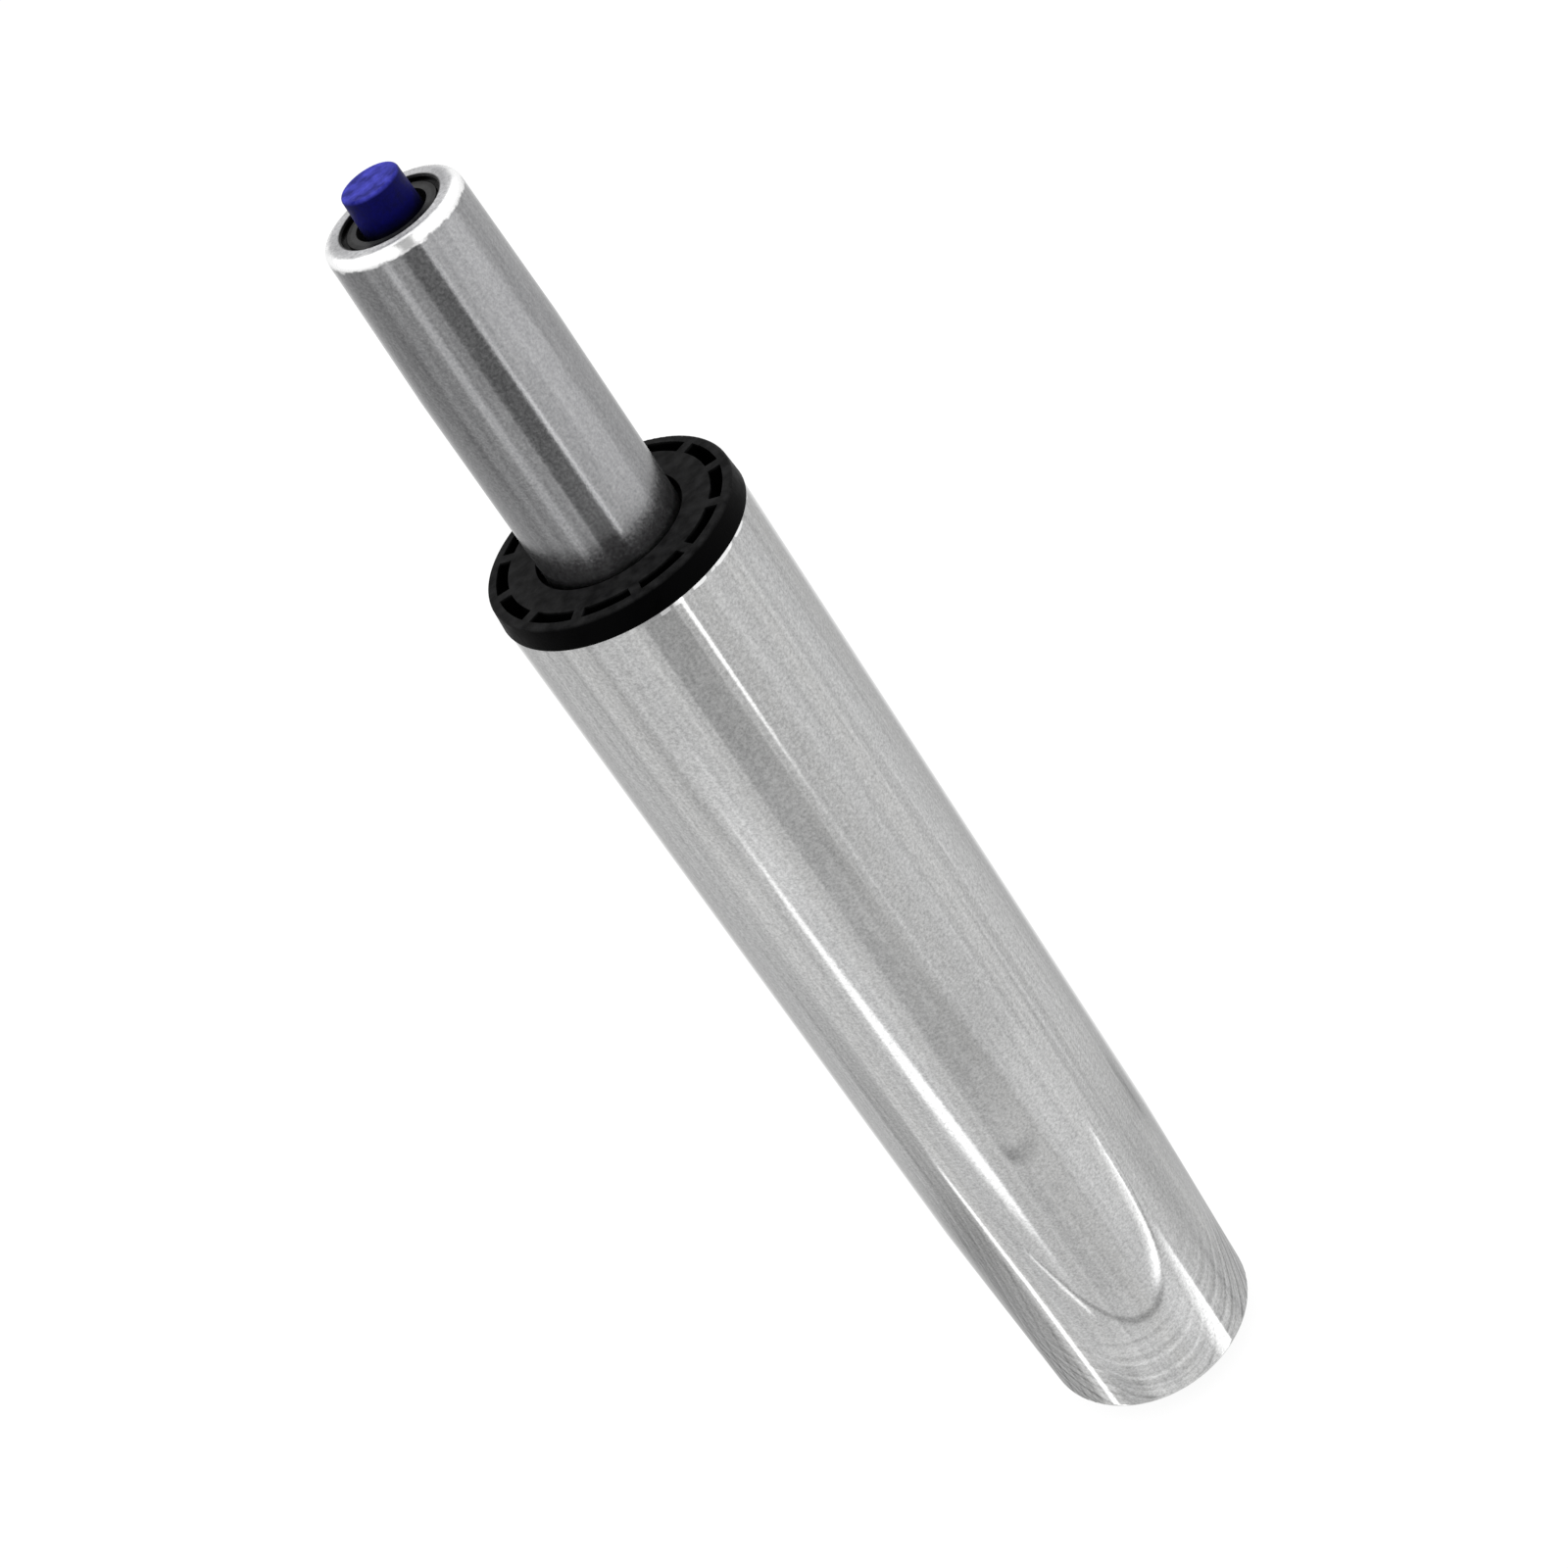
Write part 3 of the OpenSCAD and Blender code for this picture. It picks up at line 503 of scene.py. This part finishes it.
def tube_steel():
    """Steel ground round and round, so that it blurs along its axis. Its rim is crowned, with a painted
    highlight on its outer edge, and the lip inside it is painted near-black as shade."""
    f = Finish("tube_steel", metallic=1.0)
    f.shader.inputs["Anisotropic"].default_value = 0.92
    f.shader.inputs["Anisotropic Rotation"].default_value = 0.25
    tangent = node(f.tree, "ShaderNodeTangent", direction_type="RADIAL", axis="Z").outputs[0]
    f.tree.links.new(tangent, f.shader.inputs["Tangent"])
    grain = f.noise(f.place, 1700, detail=3, rough=0.75)
    streaks = f.noise(f.stretched(900, 40), detail=3, rough=0.6)
    rings = f.noise(f.turned(300, 5200), detail=2)
    tone = f.remap(f.weighted(grain, streaks, 0.7), 0.34, 0.66)
    side = f.mix(tone, (0.232, 0.233, 0.239), (0.407, 0.408, 0.413))
    rim = f.mix(tone, (0.4, 0.4, 0.41), (0.7, 0.7, 0.71))
    r = f.distance()
    # Painted highlight: the crown's outer edge is near-white above the rim, with a ragged lower edge.
    highlight_ragged = f.math("MULTIPLY", f.noise(f.place, 520, detail=3), 0.002)
    rolled = f.math("MULTIPLY", f.remap(f.math("ADD", f.xyz["Z"], highlight_ragged), RIM_HIGHLIGHT, RIM_HIGHLIGHT + 0.0004),
                    f.remap(f.math("ADD", r, highlight_ragged), CROWN_R + 0.001, CROWN_R + 0.0022))
    # Painted shade: the lip inside the rim is near-black.
    lip_shade = f.math("MULTIPLY", f.remap(f.xyz["Z"], LIP_TOP - 0.0005, LIP_TOP),
                 f.remap(r, LIP_R, LIP_R - 0.0003))
    steel = f.mix(f.remap(f.xyz["Z"], RIM_FLAT, RIM_FLAT + 0.0004), side, rim)
    f.colour(f.mix(lip_shade, f.mix(rolled, steel, (0.9, 0.9, 0.9)), (0.006, 0.006, 0.007)))
    inside = f.math("MULTIPLY", f.remap(f.xyz["Z"], RIM_FLAT + 0.0001, RIM_FLAT + 0.0004),
                    f.remap(r, CROWN_R + 0.0002, CROWN_R - 0.0006))
    f.roughness(f.math("ADD", f.remap(grain, 0.3, 0.7, 0.16, 0.22), f.math("MULTIPLY", inside, 0.35)))
    f.bump(map_range(f.tree, r, CROWN_R, CROWN_R + 0.0016, 1, 0), 0.0002)
    f.bump(grain, 0.000008)
    f.bump(rings, 0.000004)
    return f.material


def moulded(name, dark, light, rough, grain_scale, specular=0.5, lit_top=None, rim=None, shaded_foot=None):
    """Moulded plastic: a spark-eroded grain and slow changes of tone. rough is the range of its roughness,
    lit_top is the height of a face painted paler as painted light and its two colours, rim is the radius from
    which the plastic is black as painted shade, and shaded_foot is the height of a foot darkened as painted
    shade."""
    f = Finish(name, specular=specular)
    grain = f.noise(f.place, grain_scale, detail=2, rough=0.6)
    mottle = f.noise(f.place, 420, detail=3)
    colour = f.mix(f.remap(f.weighted(grain, mottle, 0.5), 0.3, 0.7), dark, light)
    if lit_top:
        height, lit_top_dark, lit_top_pale = lit_top
        # Painted light: the top face is paler than the sides, as if lit from above.
        lit_face = f.remap(f.xyz["Z"], height - 0.0006, height - 0.0001)
        patches = f.remap(f.weighted(grain, mottle, 0.15), 0.36, 0.64)
        colour = f.mix(lit_face, colour, f.mix(patches, lit_top_dark, lit_top_pale))
    if shaded_foot:
        # Painted shade: the foot is darker up to the given height, where it sits in the disc.
        foot_shade = tuple(0.12 * channel for channel in dark)
        colour = f.mix(f.remap(f.xyz["Z"], shaded_foot, shaded_foot + 0.0022), foot_shade, colour)
    if rim:
        # Painted shade: black from the given radius outwards, for the gap round the disc.
        colour = f.mix(f.remap(f.distance(), rim, rim + 0.0002), colour, (0.0006, 0.0006, 0.0006))
    f.colour(colour)
    f.roughness(f.remap(mottle, 0.3, 0.7, *rough))
    f.bump(grain, 0.00003)
    return f.material


def machined(name, dark, light, rough, pitch=4200, stain=None):
    """Turned or ground metal: rings on its faces and sides, and a few stained patches."""
    f = Finish(name, metallic=1.0)
    rings = f.noise(f.turned(pitch, pitch), detail=3, rough=0.6)
    patch = f.noise(f.place, 260, detail=3)
    colour = f.mix(f.remap(rings, 0.3, 0.7), dark, light)
    if stain:
        colour = f.mix(f.remap(patch, 0.5, 0.75), colour, stain)
    f.colour(colour)
    f.roughness(f.math("ADD", f.remap(rings, 0.3, 0.7, *rough), f.remap(patch, 0.45, 0.8, 0, 0.1)))
    f.bump(rings, 0.000012)
    return f.material


def plain_name(material):
    """A material's name in the record, without the number that Blender may have added."""
    return material.name.split(".")[0]


def make_finishes():
    """The finishes by their names in the record."""
    # The collar's and the button's top faces are painted paler as painted light; the button's foot and the
    # disc's edge are painted darker as painted shade.
    made = [
        column_chrome(),
        tube_steel(),
        moulded("collar_plastic", (0.0007, 0.0007, 0.0008), (0.0016, 0.0016, 0.0018), (0.34, 0.48), 1500,
                specular=0.02, lit_top=(COLLAR_TOP, (0.006, 0.006, 0.0062), (0.022, 0.022, 0.0225))),
        moulded("button_plastic", (0.0008, 0.0008, 0.055), (0.003, 0.003, 0.16), (0.45, 0.6), 1400,
                specular=0.1, shaded_foot=DISC_TOP, lit_top=(BUTTON_TOP, (0.004, 0.005, 0.22), (0.075, 0.078, 0.62))),
        moulded("disc_dark", (0.008, 0.0082, 0.0085), (0.036, 0.037, 0.038), (0.4, 0.55), 1800,
                specular=0.25, rim=DISC_R - 0.001),
        moulded("rubber", (0.012, 0.012, 0.012), (0.026, 0.026, 0.026), (0.7, 0.85), 2200, specular=0.3),
        moulded("white_plastic", (0.6, 0.58, 0.53), (0.72, 0.7, 0.66), (0.38, 0.5), 2600),
        machined("plain_steel", (0.4, 0.4, 0.41), (0.56, 0.56, 0.57), (0.24, 0.4), stain=(0.36, 0.34, 0.31)),
        machined("bearing_steel", (0.52, 0.52, 0.53), (0.62, 0.62, 0.63), (0.08, 0.16), 5200),
        machined("rod_chrome", (0.54, 0.55, 0.56), (0.62, 0.63, 0.64), (0.05, 0.12), 6500),
        machined("spring_steel", (0.05, 0.05, 0.052), (0.1, 0.1, 0.1), (0.32, 0.48), 3000,
                 stain=(0.12, 0.09, 0.07)),
        machined("brass", (0.62, 0.43, 0.17), (0.78, 0.57, 0.26), (0.2, 0.34), stain=(0.46, 0.3, 0.14)),
    ]
    return {plain_name(material): material for material in made}


make_camera()
make_world()
make_floor()
make_reflector()
finishes = make_finishes()
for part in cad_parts.values():
    for slot in part.material_slots:
        slot.material = finishes[plain_name(slot.material)]
